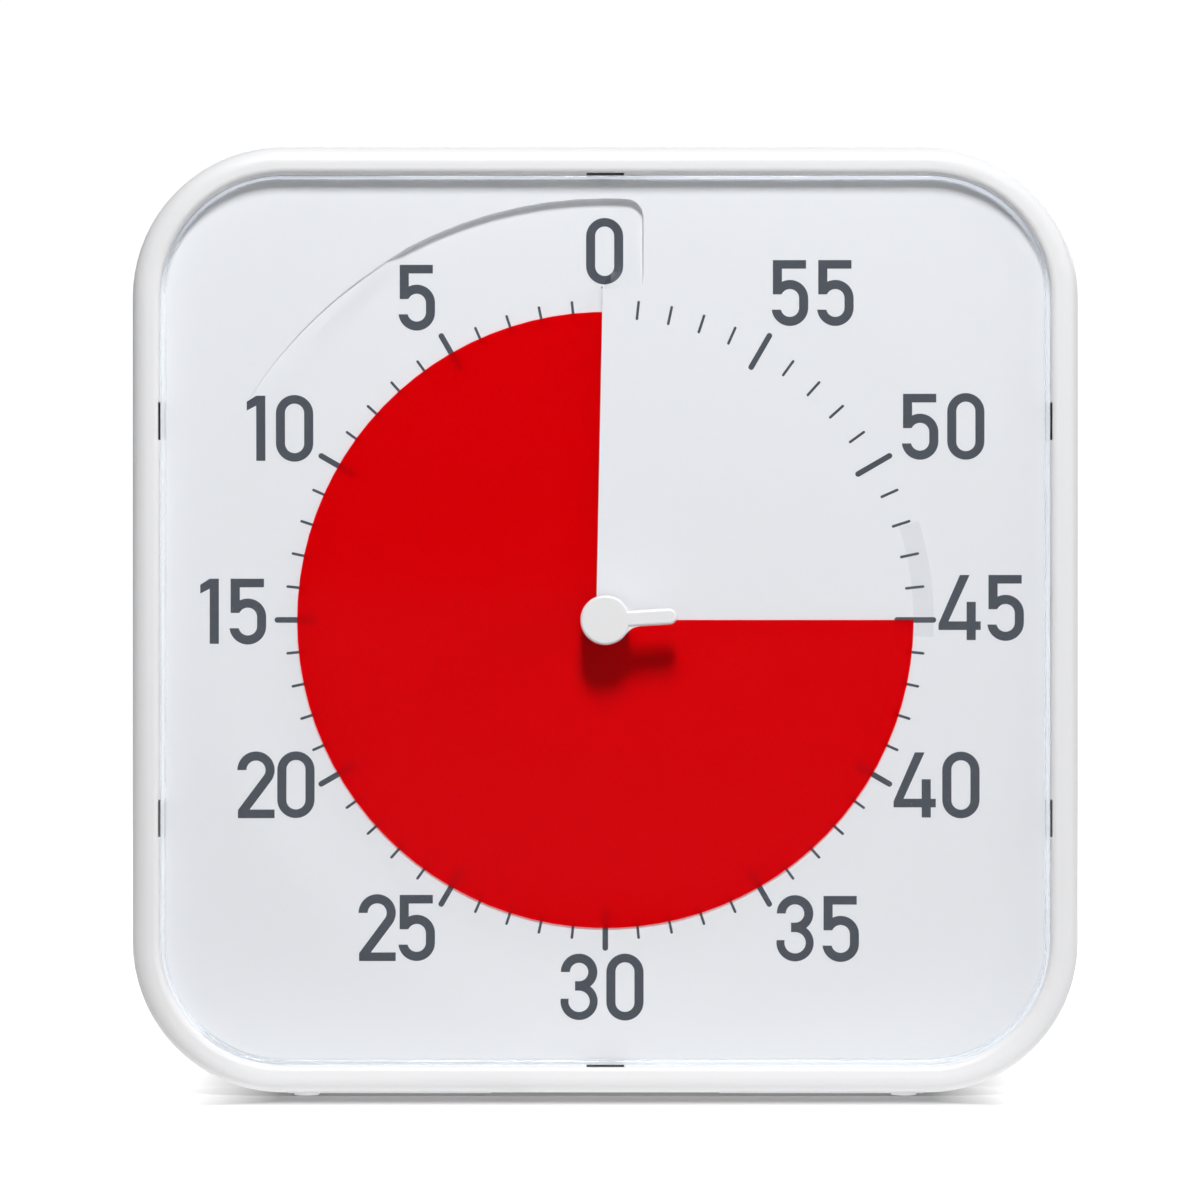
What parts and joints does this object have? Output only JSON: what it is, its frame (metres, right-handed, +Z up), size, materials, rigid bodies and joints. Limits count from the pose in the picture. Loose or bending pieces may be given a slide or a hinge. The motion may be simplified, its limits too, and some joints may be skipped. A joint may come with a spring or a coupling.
{
  "type": "visual countdown timer",
  "caption": "Square battery-driven countdown timer whose red disc winds behind a slit dial as time runs out, with clear lens, setting knob, swing-out feet and keyhole.",
  "frame": {"origin": "middle of the ground that the part covers, on the surface that the feet stand on", "axes": "+X to the right as seen from the dial's side, +Y to the rear (the dial faces -Y), +Z up"},
  "size_m": [0.3048, 0.075, 0.3058],
  "materials": {
    "case_white": "fine satin moulding",
    "lens_clear": "clear, polished",
    "dial_white": "smooth matt, printed",
    "disc_red": "printed film, satin",
    "film_clear": "clear film",
    "natural_plastic": "natural",
    "knob_white": "satin",
    "brass": "turned",
    "steel": "zinc plated",
    "spring_steel": "nickel plated",
    "movement_black": "fine texture",
    "wheel_plastic": "natural acetal",
    "magnet_dark": "sintered ferrite",
    "motor_iron": "stamped",
    "copper": "enamelled wire",
    "board_green": "solder mask",
    "resin_black": "potting resin",
    "tin": "tinned can",
    "slider_grey": "satin",
    "cell_wrap": "plain wrap"
  },
  "bodies": {
    "case": {"front_bezel": "case_white", "rear_cover": "case_white", "lens": "lens_clear", "dial_face": "dial_white", "case_screws": "steel", "movement_front": "movement_black", "movement_rear": "movement_black", "movement_screws": "steel", "rotor": "magnet_dark", "stator": "motor_iron", "coil_bobbin": "movement_black", "coil_winding": "copper", "circuit_board": "board_green", "drive_chip": "resin_black", "quartz_crystal": "tin", "buzzer": "movement_black", "switch_body": "movement_black", "battery_cell": "cell_wrap", "contact_positive": "spring_steel", "contact_negative": "spring_steel", "magnets": "magnet_dark", "foot_pins": "steel"},
    "knob": {"knob": "knob_white", "arbor": "brass", "centre_wheel": "brass", "clutch_spring": "spring_steel"},
    "disc": {"disc_hub": "natural_plastic", "red_disc": "disc_red", "guide_tab": "film_clear"},
    "third_wheel": {"third_wheel": "wheel_plastic"},
    "seconds_wheel": {"seconds_wheel": "wheel_plastic"},
    "foot_left": {"foot_left": "case_white"},
    "foot_right": {"foot_right": "case_white"},
    "battery_door": {"battery_door": "case_white"},
    "switch_slider": {"switch_slider": "slider_grey"}
  },
  "joints": [
    {"name": "knob_turn", "type": "hinge", "parent": "case", "child": "knob", "pos_m": [0, -0.0295, 0.1534], "axis": [0, -1, 0], "range_deg": [-270, 90]},
    {"name": "film_flex", "type": "slide", "parent": "knob", "child": "disc", "axis": [0, -1, 0], "range_m": [-0.00173, 0.00058]},
    {"name": "third_wheel_spin", "type": "hinge", "parent": "case", "child": "third_wheel", "pos_m": [-0.01568, -0.0095, 0.16245], "axis": [0, -1, 0], "range_deg": [-721, 2161]},
    {"name": "seconds_wheel_spin", "type": "hinge", "parent": "case", "child": "seconds_wheel", "pos_m": [-0.00882, -0.0095, 0.17431], "axis": [0, -1, 0], "range_deg": [-16201, 5401]},
    {"name": "foot_left_swing", "type": "hinge", "parent": "case", "child": "foot_left", "pos_m": [-0.0965, -0.0205, 0.0016], "axis": [0, 0, 1], "range_deg": [-90, 0]},
    {"name": "foot_right_swing", "type": "hinge", "parent": "case", "child": "foot_right", "pos_m": [0.0965, -0.0205, 0.0016], "axis": [0, 0, 1], "range_deg": [0, 90]},
    {"name": "battery_door_swing", "type": "hinge", "parent": "case", "child": "battery_door", "pos_m": [0, 0.0093, 0.06815], "axis": [-1, 0, 0], "range_deg": [0, 100]},
    {"name": "switch_slide", "type": "slide", "parent": "case", "child": "switch_slider", "axis": [1, 0, 0], "range_m": [0, 0.0034]}
  ],
  "couplings": [
    {"joint": "film_flex", "follows": "knob_turn", "m_per_rad": 0.00036606},
    {"joint": "third_wheel_spin", "follows": "knob_turn", "ratio": -8},
    {"joint": "seconds_wheel_spin", "follows": "knob_turn", "ratio": 60}
  ]
}
